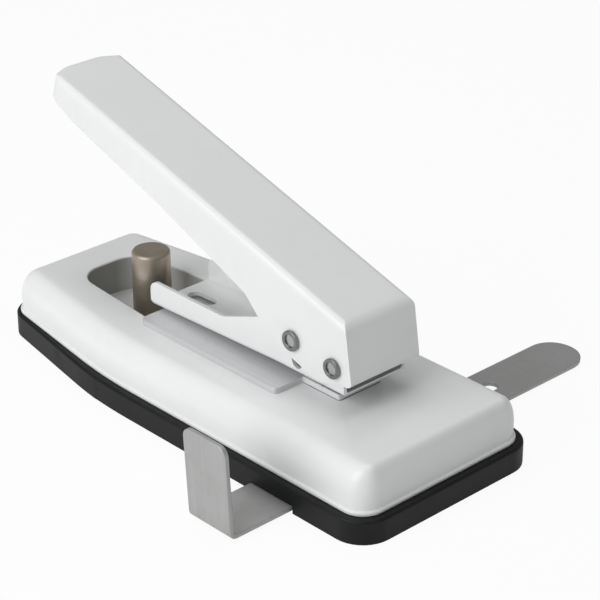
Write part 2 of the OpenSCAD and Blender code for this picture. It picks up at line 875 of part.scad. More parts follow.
module guide_screw() {
    head_h = 0.7;
    head_z = guide_z - washer_t - head_h;
    color([0.35, 0.35, 0.37]) translate([guide_x, guide_screw_y, 0]) difference() {
        union() {
            translate([0, 0, head_z]) cylinder(h = head_h, d = guide_slot_w + 3);
            translate([0, 0, head_z + head_h]) cylinder(h = plate_z - guide_z + washer_t, d = shoulder_d);
            translate([0, 0, plate_z]) cylinder(h = plate_t, d = guide_shank_d);
        }
        translate([-2.5, -0.5, head_z - over]) cube([5, 1, over + 0.5]);
    }
}

module guide_washer() {
    color([0.6, 0.6, 0.6]) translate([guide_x, guide_screw_y, guide_z - washer_t]) difference() {
        cylinder(h = washer_t, d = guide_slot_w + 5);
        translate([0, 0, -over]) cylinder(h = washer_t + 2 * over, d = shoulder_d + 2 * fit);
    }
}

chip_tray();
base_plate();
top_cover();
recess_collar();
base_screws();
die_block();
card_table();
die_insert();
throat_spacer();
frame();
frame_bolts();
cheek_front();
cheek_rear();
punch();
drive_pin();
drive_pin_caps();
pivot_pin();
pivot_pin_caps();
return_spring();
handle();
stop_post();
stop_post_screw();
side_guide();
guide_screw();
guide_washer();
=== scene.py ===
"""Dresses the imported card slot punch: a white lever and cover on a black chip tray,
bright steel jaws, a turned stop post and a sliding sheet-steel guide."""

import json
import math

import bmesh
import bpy
from bpy.props import FloatProperty, FloatVectorProperty, PointerProperty
from mathutils import Matrix, Vector

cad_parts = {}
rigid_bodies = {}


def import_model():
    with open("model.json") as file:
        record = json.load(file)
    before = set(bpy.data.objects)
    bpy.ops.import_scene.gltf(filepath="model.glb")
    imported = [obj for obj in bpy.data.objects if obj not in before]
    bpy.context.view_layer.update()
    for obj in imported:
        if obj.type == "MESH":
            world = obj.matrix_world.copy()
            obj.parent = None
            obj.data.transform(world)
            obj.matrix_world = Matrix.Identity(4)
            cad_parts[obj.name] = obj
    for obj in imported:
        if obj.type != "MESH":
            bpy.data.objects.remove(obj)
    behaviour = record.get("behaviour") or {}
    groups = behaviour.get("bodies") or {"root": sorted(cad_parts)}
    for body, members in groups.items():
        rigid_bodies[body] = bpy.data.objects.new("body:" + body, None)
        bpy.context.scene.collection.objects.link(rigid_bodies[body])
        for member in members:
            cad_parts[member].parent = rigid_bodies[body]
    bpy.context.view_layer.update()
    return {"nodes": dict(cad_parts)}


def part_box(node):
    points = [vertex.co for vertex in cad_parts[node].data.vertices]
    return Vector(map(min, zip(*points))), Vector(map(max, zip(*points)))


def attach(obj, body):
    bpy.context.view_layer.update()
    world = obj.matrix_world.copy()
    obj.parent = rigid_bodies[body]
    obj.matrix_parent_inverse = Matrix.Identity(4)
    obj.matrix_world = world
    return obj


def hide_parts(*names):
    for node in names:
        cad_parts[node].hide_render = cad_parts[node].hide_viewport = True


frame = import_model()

bl_info = {
    "name": "Card Slot Punch",
    "version": (1, 0, 0),
    "blender": (4, 5, 0),
    "location": "View3D > Sidebar > Slot Punch",
    "description": "Builds the visible pieces, finishes and studio of a card slot punch",
    "category": "Object",
}

MM = 0.001

CAMERA_AT = (0.572, -0.5084, 0.4324)
CAMERA_AHEAD = (-0.6493, 0.6102, -0.4540)
CAMERA_RIGHT = (0.6849, 0.7287, 0.0)
KEY_LIGHT_AT = (-0.05, -1.0, 0.62)
TOP_LIGHT_AT = (-0.1, 0.0, 1.15)
LIGHT_SIZE = 1.0
LIGHTS_LOOK_AT = (0.0, 0.0, 0.04)
LEVER_REST_ANGLE = math.radians(16.5)


# ------------------------------------------------------------------ settings


def length(name, about, mm, low=0.0, high=400.0):
    return FloatProperty(
        name=name, description=about, default=mm * MM, min=low * MM, max=high * MM,
        subtype="DISTANCE", unit="LENGTH", precision=5,
    )


def colour(name, about, rgb):
    return FloatVectorProperty(
        name=name, description=about, default=rgb, size=3, min=0.0, max=1.0, subtype="COLOR"
    )


class PunchSizes(bpy.types.PropertyGroup):
    corner_r: length("Base corner", "Corner radius of the chip tray in plan", 13)
    taper_l: length("Taper", "Length of the tapered nose of the base", 75)
    nose_w: length("Nose width", "Width of the base at its nose", 71)
    bend_r: length("Taper bend", "Radius of the soft bend where the base starts to taper", 250)
    ledge: length("Ledge", "Black ledge round the foot of the cover", 3.1)
    lip_out: length("Lip", "How far the cover's rolled lip stands out", 0.9)
    lip_h: length("Lip height", "Height of the rolled lip", 1.8)
    roll_in: length("Roll in", "How far the rounding of the cover's top edge reaches in", 8)
    tail_roll: length("Tail roll", "The same reach at the tail end, where the edge is tighter", 4.4)
    roll_down: length("Roll down", "How far the same rounding reaches down", 11)
    wall: length("Cover wall", "Sheet thickness of the cover", 2.4)
    rim: length("Rim", "Cover sheet left over the collar's top edge", 0.8)
    collar: length("Collar", "Sheet of the collar that lines the recess", 2.0)
    recess_nose_x: length("Recess nose", "Place on X of the recess's nose", -86.5, -200)
    recess_end_x: length("Recess end", "Place on X where it closes round the die block", 38.5)
    recess_nose_y: length("Recess nose half", "Half the recess's width at its nose", 16)
    recess_half_y: length("Recess half", "Half the recess's full width", 20)
    recess_nose_r: length("Recess nose corner", "Corner radius of the recess's nose", 12)
    recess_edge: length("Recess edge", "Rounding round the mouth of the recess", 0.55)
    tongue_x: length("Tongue", "Place on X where the card table narrows to its tongue", 44.6)
    lever_made_r: length("Made tip", "Plan radius of the tip corners in the packed lever", 7)
    lever_tip_r: length("Lever tip", "Plan radius of the tip corners as they are shown", 11.5)
    lever_reach: length("Tip reach", "Length of lever that takes part in the rounding", 16)
    wire: length("Spring wire", "Thickness of the return spring's wire", 1.4)
    break_edge: length("Broken edge", "Small bevel on cut sheet metal", 0.25)


class PunchColours(bpy.types.PropertyGroup):
    enamel: colour("Enamel", "White stoved enamel of lever, frame and cover", (0.84, 0.85, 0.85))
    plastic: colour("Tray plastic", "Black moulded plastic of the tray", (0.0085, 0.009, 0.010))
    nickel: colour("Nickel plate", "Bright plated card table", (0.66, 0.67, 0.68))
    sheet: colour("Sheet steel", "Bare steel of the side guide", (0.42, 0.425, 0.42))
    post: colour("Post steel", "Turned steel of the stop post", (0.47, 0.415, 0.34))
    tool: colour("Tool steel", "Ground steel of punch and die", (0.45, 0.45, 0.46))
    zinc: colour("Zinc", "Plated screws and pin caps", (0.24, 0.24, 0.24))
    collar: colour("Collar", "Dark sheet steel that lines the recess", (0.34, 0.34, 0.325))
    wire: colour("Spring wire", "Oiled spring wire", (0.25, 0.25, 0.26))
    floor: colour("Floor", "Pale studio floor", (0.9, 0.9, 0.9))


class PunchStudio(bpy.types.PropertyGroup):
    key_power: FloatProperty(
        name="Key light", description="Power of the large light on the near side", default=8.8,
        min=0.0, max=200.0, subtype="POWER", unit="POWER",
    )
    top_power: FloatProperty(
        name="Top light", description="Power of the overhead light", default=4.0,
        min=0.0, max=200.0, subtype="POWER", unit="POWER",
    )
    surround: FloatProperty(
        name="Surround", description="Strength of the even surrounding light", default=0.285,
        min=0.0, max=2.0,
    )
    focal: FloatProperty(
        name="Focal length", description="Focal length of the camera in millimetres", default=132.0,
        min=20.0, max=300.0,
    )


def sizes():
    return bpy.context.scene.punch_sizes


def colours():
    return bpy.context.scene.punch_colours


def studio():
    return bpy.context.scene.punch_studio


# ------------------------------------------------------------------ materials


class Wire:
    """A socket in a node tree that takes part in sums."""

    def __init__(self, paint, socket):
        self.paint, self.socket = paint, socket

    def _math(self, kind, *values):
        return self.paint.add("ShaderNodeMath", {"operation": kind}, *values)

    def __add__(self, other):
        return self._math("ADD", self, other)

    def __rsub__(self, other):
        return self._math("SUBTRACT", other, self)

    def __mul__(self, other):
        return self._math("MULTIPLY", self, other)

    def __gt__(self, other):
        return self._math("GREATER_THAN", self, other)


class Paint:
    """Builds one material's nodes."""

    def __init__(self, name):
        self.material = bpy.data.materials.new(name)
        self.material.use_nodes = True
        self.tree = self.material.node_tree
        self.tree.nodes.clear()
        self.shader = self.tree.nodes.new("ShaderNodeBsdfPrincipled")
        self.out = self.tree.nodes.new("ShaderNodeOutputMaterial")
        self.tree.links.new(self.shader.outputs[0], self.out.inputs["Surface"])
        self.place = self.add("ShaderNodeTexCoord", {}, out="Object")

    def _feed(self, socket, value):
        if isinstance(value, Wire):
            self.tree.links.new(value.socket, socket)
        else:
            socket.default_value = value

    def add(self, kind, settings, *values, out=0, **named):
        node = self.tree.nodes.new(kind)
        for key, value in settings.items():
            setattr(node, key, value)
        for i, value in enumerate(values):
            self._feed(node.inputs[i], value)
        for key, value in named.items():
            self._feed(node.inputs[key.replace("_", " ")], value)
        return Wire(self, node.outputs[out])

    def along(self, axis):
        """How far along an axis of the object a point lies."""
        return self.add("ShaderNodeSeparateXYZ", {}, Vector=self.place, out=axis)

    def stretched(self, scale):
        return self.add("ShaderNodeMapping", {}, Vector=self.place, Scale=scale)

    def noise(self, scale, detail=3.0, where=None, rough=0.5):
        return self.add(
            "ShaderNodeTexNoise", {}, Vector=where or self.place, Scale=scale, Detail=detail,
            Roughness=rough,
        )

    def ramp(self, value, low, high, start=0.0, end=1.0):
        return self.add(
            "ShaderNodeMapRange", {}, Value=value, From_Min=low, From_Max=high,
            To_Min=start, To_Max=end,
        )

    def blend(self, factor, a, b):
        """A colour between a and b; a mix node keeps its colours in these sockets."""
        colour_a, colour_b, colour_out = 6, 7, 2
        node = self.tree.nodes.new("ShaderNodeMix")
        node.data_type = "RGBA"
        self._feed(node.inputs["Factor"], factor)
        for key, value in ((colour_a, a), (colour_b, b)):
            self._feed(node.inputs[key], value if isinstance(value, Wire) else (*value, 1.0))
        return Wire(self, node.outputs[colour_out])

    def bump(self, height, depth, strength):
        return self.add("ShaderNodeBump", {}, Strength=strength, Distance=depth, Height=height)

    def set(self, **sockets):
        for key, value in sockets.items():
            socket = self.shader.inputs[key.replace("_", " ")]
            self._feed(socket, (*value, 1.0) if isinstance(value, tuple) else value)
        return self.material


def shade(rgb, k):
    return tuple(min(1.0, c * k) for c in rgb)


def enamel_finish():
    """Stoved white enamel: a faint orange peel and a little handling dust."""
    p = Paint("white_enamel")
    white = tuple(colours().enamel)
    cloud = p.noise(26.0, 3.0)
    dust = p.ramp(p.noise(95.0, 5.0), 0.52, 0.8)
    base = p.blend(p.ramp(cloud, 0.35, 0.7), white, shade(white, 0.972))
    base = p.blend(dust * 0.25, base, shade(white, 0.9))
    peel = p.bump(p.noise(420.0, 2.0), 0.00003, 0.35)
    return p.set(
        Base_Color=base, Roughness=p.ramp(cloud, 0.3, 0.7, 0.27, 0.36) + dust * 0.12, Normal=peel,
        Coat_Weight=0.25, Coat_Roughness=0.12, Specular_IOR_Level=0.45,
    )


def plastic_finish():
    """Spark-textured black plastic with rubbed, dusty high spots."""
    p = Paint("black_plastic")
    black = tuple(colours().plastic)
    grain = p.add("ShaderNodeTexVoronoi", {}, Vector=p.place, Scale=1500.0)
    rub = p.ramp(p.noise(60.0, 6.0, rough=0.65), 0.48, 0.75)
    worn = (0.022, 0.022, 0.023)
    base = p.blend(rub * 0.5, black, worn)
    skin = p.bump(grain, 0.00005, 0.5)
    return p.set(
        Base_Color=base, Roughness=p.ramp(rub, 0.0, 1.0, 0.45, 0.6), Normal=skin,
        Specular_IOR_Level=0.2,
    )


LINES_ACROSS, LINES_ALONG = 1400.0, 18.0


def drawn_steel(
    name, rgb, along, rough, stain=0.2, metal=1.0, warmth=None, hidden_from=None, far_lift=0.0
):
    """Plated or bare steel with fine lines along the given axes. Past the place hidden_from
    on X, under the frame, it is dull and pale. With the far share set, painted light makes the
    colour lighter towards the far side of the base, standing for the light that side catches."""
    p = Paint(name)
    squeeze = [LINES_ALONG if i in along else LINES_ACROSS for i in range(3)]
    streak = p.noise(1.0, 3.0, p.stretched(tuple(squeeze)), 0.6)
    patch = p.ramp(p.noise(48.0, 5.0, rough=0.6), 0.4, 0.72)
    fleck = p.ramp(p.noise(310.0, 4.0), 0.6, 0.78)
    base = p.blend(p.ramp(streak, 0.25, 0.75) * 0.5, shade(rgb, 1.06), shade(rgb, 0.86))
    base = p.blend(patch * stain, base, warmth or shade(rgb, 0.72))
    base = p.blend(fleck * 0.22, base, shade(rgb, 0.6))
    # painted light: the colour is made lighter towards the far side of the base, where light falls
    if far_lift:
        base = p.blend(p.ramp(p.along(1), 4 * MM, 16 * MM), base, shade(rgb, 1.0 + far_lift))
    if hidden_from is not None:
        dull = p.along(0) > hidden_from
        base = p.blend(dull, base, shade(rgb, 1.15))
        metal = metal - dull * metal
    return p.set(
        Base_Color=base, Metallic=metal,
        Roughness=p.ramp(streak, 0.2, 0.8, rough - 0.05, rough + 0.07) + patch * 0.08,
        Normal=p.bump(streak, 0.00001, 0.5),
    )


def turned_steel(name, rgb, rough):
    """Turned steel: tool marks run round an upright axis."""
    p = Paint(name)
    rings = p.noise(1.0, 2.0, p.stretched((30.0, 30.0, 3600.0)), 0.55)
    patch = p.ramp(p.noise(120.0, 5.0), 0.42, 0.7)
    base = p.blend(p.ramp(rings, 0.3, 0.7), shade(rgb, 1.04), shade(rgb, 0.92))
    base = p.blend(patch * 0.4, base, (rgb[0] * 0.74, rgb[1] * 0.68, rgb[2] * 0.58))
    return p.set(
        Base_Color=base, Metallic=0.75, Roughness=p.ramp(patch, 0.0, 1.0, rough, rough + 0.14),
        Normal=p.bump(rings, 0.000008, 0.5),
    )


FINISHES = {}


def finish(name):
    """One shared material of each kind, made when it is first asked for."""
    c = {key: tuple(getattr(colours(), key)) for key in ("nickel", "sheet", "post", "tool", "zinc",
                                                         "collar", "wire")}
    steels = {
        "nickel": ("bright_nickel", c["nickel"], (0,), 0.4,
                   dict(stain=0.12, metal=0.4, hidden_from=sizes().tongue_x)),
        "sheet": ("bare_sheet_steel", c["sheet"], (1, 2), 0.42,
                  dict(stain=0.4, metal=0.45, warmth=(0.33, 0.325, 0.3))),
        "tool": ("ground_tool_steel", c["tool"], (1,), 0.26, {}),
        "block": ("machined_steel", shade(c["tool"], 0.75), (0,), 0.42, dict(stain=0.3)),
        "plate": ("oiled_plate", shade(c["sheet"], 1.6), (0,), 0.46, dict(stain=0.35, metal=0.25)),
        "zinc": ("zinc_plate", c["zinc"], (0, 1), 0.3, dict(stain=0.3)),
        "dark_zinc": ("dark_zinc_plate", shade(c["zinc"], 0.9), (0, 1), 0.4, {}),
        "pin": ("ground_pin", c["tool"], (1,), 0.24, {}),
        # the collar's colour carries painted light, lighter towards its far wall
        "collar": ("dark_collar", c["collar"], (0, 1), 0.45,
                   dict(stain=0.3, metal=0.3, far_lift=0.9)),
        "wire": ("spring_wire", c["wire"], (1,), 0.32, dict(stain=0.1)),
    }
    others = {
        "enamel": enamel_finish,
        "plastic": plastic_finish,
        "post": lambda: turned_steel("turned_post", c["post"], 0.3),
    }
    if name not in FINISHES:
        if name in steels:
            *basics, extras = steels[name]
            FINISHES[name] = drawn_steel(*basics, **extras)
        else:
            FINISHES[name] = others[name]()
    return FINISHES[name]


# ------------------------------------------------------------------ mesh helpers


def as_piece(name, mesh, body, node, kind):
    """Links a finished mesh, whose place is in its points, with the finish of the given kind,
    hangs it on the body it rides on and hides the node it stands for."""
    mesh.name = name
    mesh.materials.clear()
    mesh.materials.append(finish(kind))
    piece = bpy.data.objects.new(name, mesh)
    bpy.context.scene.collection.objects.link(piece)
    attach(piece, body)
    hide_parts(node)


def settled(obj):
    """The object with its modifiers, as a plain mesh; the object itself goes."""
    bpy.context.view_layer.update()
    made = bpy.data.meshes.new_from_object(
        obj.evaluated_get(bpy.context.evaluated_depsgraph_get()), preserve_all_data_layers=False
    )
    bpy.data.objects.remove(obj)
    return made


def smooth(mesh, angle=32.0):
    """Smooth shading with sharp edges past the angle, in degrees."""
    mesh.shade_smooth()
    mesh.set_sharp_from_angle(angle=math.radians(angle))
    return mesh


FLAT, ROUND = 1.0, 0.5  # degrees below which neighbouring faces join: sheet work, turned work


def merged_copy(node, flat=FLAT):
    """A CAD node's mesh with its loose triangles joined and its flats cleared."""
    mesh = frame["nodes"][node].data.copy()
    bm = bmesh.new()
    bm.from_mesh(mesh)
    bmesh.ops.remove_doubles(bm, verts=bm.verts, dist=2e-6)
    bmesh.ops.dissolve_limit(
        bm, angle_limit=math.radians(flat), verts=bm.verts, edges=bm.edges, delimit=set()
    )
    bm.to_mesh(mesh)
    bm.free()
    return mesh


def reshaped(mesh, cuts, move):
    """Cuts a mesh along planes across an axis, then moves all its points by one rule."""
    bm = bmesh.new()
    bm.from_mesh(mesh)
    for axis, places in cuts:
        normal = Vector([float(i == axis) for i in range(3)])
        for at in places:
            bmesh.ops.bisect_plane(
                bm, geom=bm.verts[:] + bm.edges[:] + bm.faces[:], plane_co=normal * at,
                plane_no=normal, dist=1e-7,
            )
    for v in bm.verts:
        v.co = move(v.co)
    bm.to_mesh(mesh)
    bm.free()
    return mesh


def temporary(mesh):
    """An object to hang modifiers on until settled() takes its shape."""
    obj = bpy.data.objects.new("work", mesh)
    bpy.context.scene.collection.objects.link(obj)
    return obj


def bevelled(mesh, width, angle=38.0):
    """The mesh with its edges sharper than the angle, in degrees, broken by a small bevel."""
    obj = temporary(mesh)
    bevel = obj.modifiers.new("Bevel", "BEVEL")
    bevel.width = width
    bevel.segments = 2
    bevel.limit_method = "ANGLE"
    bevel.angle_limit = math.radians(angle)
    bevel.use_clamp_overlap = True
    bevel.harden_normals = False
    weight = obj.modifiers.new("Weighted", "WEIGHTED_NORMAL")
    weight.keep_sharp = True
    smooth(mesh)
    return settled(obj)


ARC_STEP = 7.0  # degrees of turn between the points of an arc
WIDE_ARC, WIDE_STEPS = 0.1, 6  # an arc of a larger radius than this gets at least so many steps


def corner_points(corners, grow):
    """Points of a plan outline with rounded corners (x, y, r), all moved out by grow.
    Every grow gives the same number of points, so rings can be joined."""
    points = []
    count = len(corners)
    for i, (*_, r) in enumerate(corners):
        before, here, after = (Vector(corners[(i + k) % count][:2]) for k in (-1, 0, 1))
        u, v = (before - here).normalized(), (after - here).normalized()
        outward = 1.0 if u.cross(v) < 0 else -1.0
        half = math.acos(max(-1.0, min(1.0, u.dot(v)))) / 2
        centre = here + (u + v).normalized() * r / math.sin(half)
        first = here + u * r / math.tan(half) - centre
        last = here + v * r / math.tan(half) - centre
        a = math.atan2(first.y, first.x)
        sweep = (math.atan2(last.y, last.x) - a + 3 * math.pi) % (2 * math.pi) - math.pi
        n = max(WIDE_STEPS if r > WIDE_ARC else 2, math.ceil(abs(math.degrees(sweep)) / ARC_STEP))
        radius = r + grow * outward
        for k in range(n + 1):
            t = a + sweep * k / n
            points.append(centre + radius * Vector((math.cos(t), math.sin(t))))
    return points


def join_rings(bm, rings):
    """Quads between rings of equal length; the rings stay as loops of vertices."""
    made = [[bm.verts.new(p) for p in ring] for ring in rings]
    for low, high in zip(made, made[1:]):
        n = len(low)
        for i in range(n):
            bm.faces.new((low[i], low[(i + 1) % n], high[(i + 1) % n], high[i]))
    return made


def fill_between(bm, *loops):
    """Closes the flat area between loops of vertices."""
    edges = []
    for loop in loops:
        n = len(loop)
        for i in range(n):
            pair = (loop[i], loop[(i + 1) % n])
            edges.append(bm.edges.get(pair) or bm.edges.new(pair))
    bmesh.ops.triangle_fill(bm, edges=edges, use_beauty=True)


def finished_bmesh(bm, name):
    """A mesh from the work in hand, welded and with its faces turned outwards."""
    bmesh.ops.remove_doubles(bm, verts=bm.verts, dist=1e-6)
    bmesh.ops.recalc_face_normals(bm, faces=bm.faces)
    mesh = bpy.data.meshes.new(name)
    bm.to_mesh(mesh)
    bm.free()
    return mesh


def quarter(count):
    """Angles from nothing to a right angle in count steps."""
    return [math.pi / 2 * i / count for i in range(count + 1)]


# ------------------------------------------------------------------ geometry trees


class Tree:
    """A geometry node tree with named inputs."""

    def __init__(self, name):
        self.group = bpy.data.node_groups.new(name, "GeometryNodeTree")
        for way in ("INPUT", "OUTPUT"):
            self._socket("Geometry", way, "NodeSocketGeometry")
        self.source = self.group.nodes.new("NodeGroupInput")
        self.sink = self.group.nodes.new("NodeGroupOutput")
        self.ids = {}

    def _socket(self, name, way, kind):
        return self.group.interface.new_socket(name, in_out=way, socket_type=kind)

    def size(self, name):
        """A named number among the tree's inputs."""
        self.ids[name] = self._socket(name, "INPUT", "NodeSocketFloat").identifier
        return self.source.outputs[name]

    def _feed(self, socket, value):
        if isinstance(value, bpy.types.NodeSocket):
            self.group.links.new(value, socket)
        else:
            socket.default_value = value

    def add(self, kind, settings=None, **inputs):
        node = self.group.nodes.new(kind)
        for key, value in (settings or {}).items():
            setattr(node, key, value)
        for key, value in inputs.items():
            self._feed(node.inputs[key.replace("_", " ")], value)
        return node.outputs[0]

    def sum(self, a, b, kind="ADD"):
        node = self.group.nodes.new("ShaderNodeMath")
        node.operation = kind
        for socket, value in zip(node.inputs, (a, b)):
            self._feed(socket, value)
        return node.outputs[0]

    def joined(self, *parts):
        node = self.group.nodes.new("GeometryNodeJoinGeometry")
        for part in parts:
            self.group.links.new(part, node.inputs[0])
        return node.outputs[0]

    def end(self, geometry, material):
        real = self.add("GeometryNodeRealizeInstances", Geometry=geometry)
        painted = self.add("GeometryNodeSetMaterial", Geometry=real, Material=material)
        self.group.links.new(painted, self.sink.inputs[0])

    def grown_on(self, mesh, **values):
        """The mesh that the tree makes of another, with its inputs set by name."""
        obj = temporary(mesh)
        modifier = obj.modifiers.new(self.group.name, "NODES")
        modifier.node_group = self.group
        for name, value in values.items():
            modifier[self.ids[name.replace("_", " ")]] = value
        return settled(obj)


def points_mesh(places):
    mesh = bpy.data.meshes.new("places")
    mesh.from_pydata([tuple(p) for p in places], [], [])
    return mesh


def node_middle(node):
    low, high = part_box(node)
    return (low + high) / 2


def solids_of(node):
    """Middle, low and high corner of each separate solid in a node, in order of place."""
    bm = bmesh.new()
    bm.from_mesh(frame["nodes"][node].data)
    bmesh.ops.remove_doubles(bm, verts=bm.verts, dist=2e-6)
    left = set(bm.verts)
    found = []
    while left:
        stack, seen = [next(iter(left))], set()
        while stack:
            v = stack.pop()
            if v in seen:
                continue
            seen.add(v)
            stack.extend(e.other_vert(v) for e in v.link_edges)
        left -= seen
        lows = Vector([min(v.co[i] for v in seen) for i in range(3)])
        highs = Vector([max(v.co[i] for v in seen) for i in range(3)])
        found.append(((lows + highs) / 2, lows, highs))
    bm.free()
    return sorted(found, key=lambda solid: tuple(round(c, 5) for c in solid[0]))


# ------------------------------------------------------------------ pieces


class PUNCH_OT_camera(bpy.types.Operator):
    """Stand the camera where the photograph was taken"""

    bl_idname = "punch.camera"
    bl_label = "Camera"

    def execute(self, context):
        data = bpy.data.cameras.new("camera")
        data.sensor_width = 36.0
        data.lens = studio().focal
        data.clip_end = 20.0
        camera = bpy.data.objects.new("camera", data)
        right, ahead = Vector(CAMERA_RIGHT).normalized(), Vector(CAMERA_AHEAD).normalized()
        up = right.cross(ahead).normalized()
        turn = Matrix((right, up, -ahead)).transposed()
        camera.matrix_world = Matrix.Translation(CAMERA_AT) @ turn.to_4x4()
        context.scene.collection.objects.link(camera)
        context.scene.camera = camera
        return {"FINISHED"}


class PUNCH_OT_cover(bpy.types.Operator):
    """Press the white cover: rolled lip, rounded top edge and walled recess"""

    bl_idname = "punch.cover"
    bl_label = "Cover"

    def execute(self, context):
        s = sizes()
        foot, top = (corner.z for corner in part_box("top_cover"))
        mouth = self.mouth()
        bm = bmesh.new()
        outer, inner = (
            join_rings(bm, [[(p.x, p.y, z) for p in self.plan(inset)] for inset, z in rings])
            for rings in (self.outside(foot, top), self.inside(top))
        )
        e = s.recess_edge
        edge = [(e * (1 - math.sin(a)), top - e * (1 - math.cos(a))) for a in quarter(4)]
        edge += [(0.0, top - s.rim), (s.collar, top - s.rim), (s.collar, top - s.wall)]
        hole = join_rings(
            bm, [[(p.x, p.y, z) for p in corner_points(mouth, grow)] for grow, z in edge]
        )
        fill_between(bm, outer[-1], hole[0])
        fill_between(bm, inner[0], hole[-1])
        last, first = inner[-1], outer[0]
        for i in range(len(last)):
            j = (i + 1) % len(last)
            bm.faces.new((last[i], last[j], first[j], first[i]))
        mesh = smooth(finished_bmesh(bm, "cover"), 40.0)
        as_piece("cover", mesh, "base", "top_cover", "enamel")
        lining = bevelled(merged_copy("recess_collar"), 0.15 * MM)
        as_piece("collar", lining, "base", "recess_collar", "collar")
        return {"FINISHED"}

    def plan(self, inset):
        """The tray's plan drawn in; above the straight wall it is drawn in less at the tail."""
        s = sizes()
        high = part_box("top_cover")[1]
        half_l, half_w, nose, r = high.x + s.ledge, high.y + s.ledge, s.nose_w / 2, s.corner_r
        bend = -half_l + s.taper_l
        tail = half_l + max(0.0, inset - s.ledge - s.lip_out) * (1 - s.tail_roll / s.roll_in)
        return corner_points([
            (-half_l, -nose, r), (bend, -half_w, s.bend_r), (tail, -half_w, r),
            (tail, half_w, r), (bend, half_w, s.bend_r), (-half_l, nose, r),
        ], -inset)

    def outside(self, foot, top):
        """Rings (inset, height) from the foot over the rolled lip and up the wall to the top."""
        s = sizes()
        wall_in, lip_r = s.ledge + s.lip_out, s.lip_h / 2
        foot_curl, lip_flat, neck, shoulder = (n * MM for n in (0.35, 0.2, 0.8, 1.0))
        rings = [(s.ledge + s.wall, foot)]
        for a in quarter(5):
            rings.append((
                s.ledge + foot_curl * (1 - math.sin(a)), foot + lip_r * (1 - math.cos(a))
            ))
        for a in quarter(5):
            rings.append((
                s.ledge + s.lip_out * (1 - math.cos(a)),
                foot + lip_r + lip_flat + (s.lip_h - lip_r) * math.sin(a),
            ))
        rings += [(wall_in, foot + s.lip_h + neck), (wall_in, top - s.roll_down - shoulder)]
        for a in quarter(14):
            rings.append((
                wall_in + s.roll_in * (1 - math.cos(a)), top - s.roll_down * (1 - math.sin(a))
            ))
        return rings

    def inside(self, top):
        """Rings (inset, height) of the hollow, from its ceiling down."""
        s = sizes()
        reach_in, reach_down = s.roll_in - s.wall + s.lip_out, s.roll_down - s.wall
        return [
            (s.ledge + s.wall + reach_in * (1 - math.sin(a)),
             top - s.wall - reach_down * (1 - math.cos(a)))
            for a in quarter(5)
        ]

    def mouth(self):
        """Plan of the recess: a rounded nose that widens under the card table and closes
        round the die block."""
        s = sizes()
        low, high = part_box("die_block")
        table_x, end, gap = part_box("card_table")[0].x, s.recess_end_x, 0.1 * MM
        nose_x, nose_y, nose_r = s.recess_nose_x, s.recess_nose_y, s.recess_nose_r
        half = s.recess_half_y
        table_r, end_r, inner_r, block_r = 30 * MM, 2 * MM, 3 * MM, 1 * MM
        return [
            (nose_x, -nose_y, nose_r), (table_x, -half, table_r),
            (end, -half, end_r), (end, low.y - gap, inner_r),
            (high.x + gap, low.y - gap, block_r), (high.x + gap, high.y + gap, block_r),
            (end, high.y + gap, inner_r), (end, half, end_r),
            (table_x, half, table_r), (nose_x, nose_y, nose_r),
        ]


class PUNCH_OT_tray(bpy.types.Operator):
    """Mould the black chip tray and lay the steel base plate in it"""

    bl_idname = "punch.tray"
    bl_label = "Chip tray"

    def execute(self, context):
        for name, node, kind in (
            ("tray", "chip_tray", "plastic"),
            ("floor_plate", "base_plate", "plate"),
        ):
            mesh = merged_copy(node)
            if node == "chip_tray":
                mesh = self.soft_bend(mesh)
            as_piece(name, bevelled(mesh, 0.3 * MM, 40.0), "base", node, kind)
        return {"FINISHED"}

    def soft_bend(self, mesh):
        """Draws the tray's sides in where they start to taper, along the cover's soft bend."""
        s = sizes()
        low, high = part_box("chip_tray")
        nose, half_w, bend = s.nose_w / 2, high.y, low.x + s.taper_l
        turn = math.atan2(half_w - nose, s.taper_l)
        reach = s.bend_r * math.tan(turn / 2)

        def move(p):
            beyond = p.x - bend
            if not -reach * math.cos(turn) < beyond < reach:
                return p
            edge = half_w + min(0.0, beyond) * math.tan(turn)
            arc = half_w - s.bend_r + math.sqrt(s.bend_r ** 2 - (beyond - reach) ** 2)
            return Vector((p.x, p.y * arc / edge, p.z))

        cuts = 14
        places = [bend + reach * (2 * i / cuts - 1) for i in range(cuts + 1)]
        return reshaped(mesh, [(0, places)], move)


class PUNCH_OT_lever(bpy.types.Operator):
    """Press the long lever: a sheet channel with a closed nose and shaped flanges"""

    bl_idname = "punch.lever"
    bl_label = "Lever"

    def execute(self, context):
        mesh = bevelled(self.round_tip(merged_copy("handle")), sizes().break_edge)
        as_piece("lever", mesh, "lever", "handle", "enamel")
        return {"FINISHED"}

    def round_tip(self, mesh):
        """Rounds the tip's two corners in plan, with the lever laid level for the work."""
        s = sizes()
        to_pivot = Matrix.Translation(-node_middle("pivot_pin"))
        level = Matrix.Rotation(-LEVER_REST_ANGLE, 4, "Y") @ to_pivot
        mesh.transform(level)
        tip, half = min(v.co.x for v in mesh.vertices), max(v.co.y for v in mesh.vertices)

        def corner(y, r):
            """How far back a corner of radius r lies from the tip, this far from the middle."""
            out = max(0.0, abs(y) - (half - r))
            return r - math.sqrt(max(0.0, r * r - out * out))

        def move(p):
            shift = corner(p.y, s.lever_tip_r) - corner(p.y, s.lever_made_r)
            share = min(1.0, max(0.0, (tip + s.lever_reach - p.x) / s.lever_reach))
            return Vector((p.x + shift * share, p.y, p.z))

        across = [side * (half - k * MM) for side in (-1, 1) for k in range(1, 12)]
        along = [tip + k * MM for k in (1, 2.5, 4, 6, 8, 10, 12, 14, 16)]
        reshaped(mesh, [(0, along), (1, across)], move)
        mesh.transform(level.inverted())
        return mesh


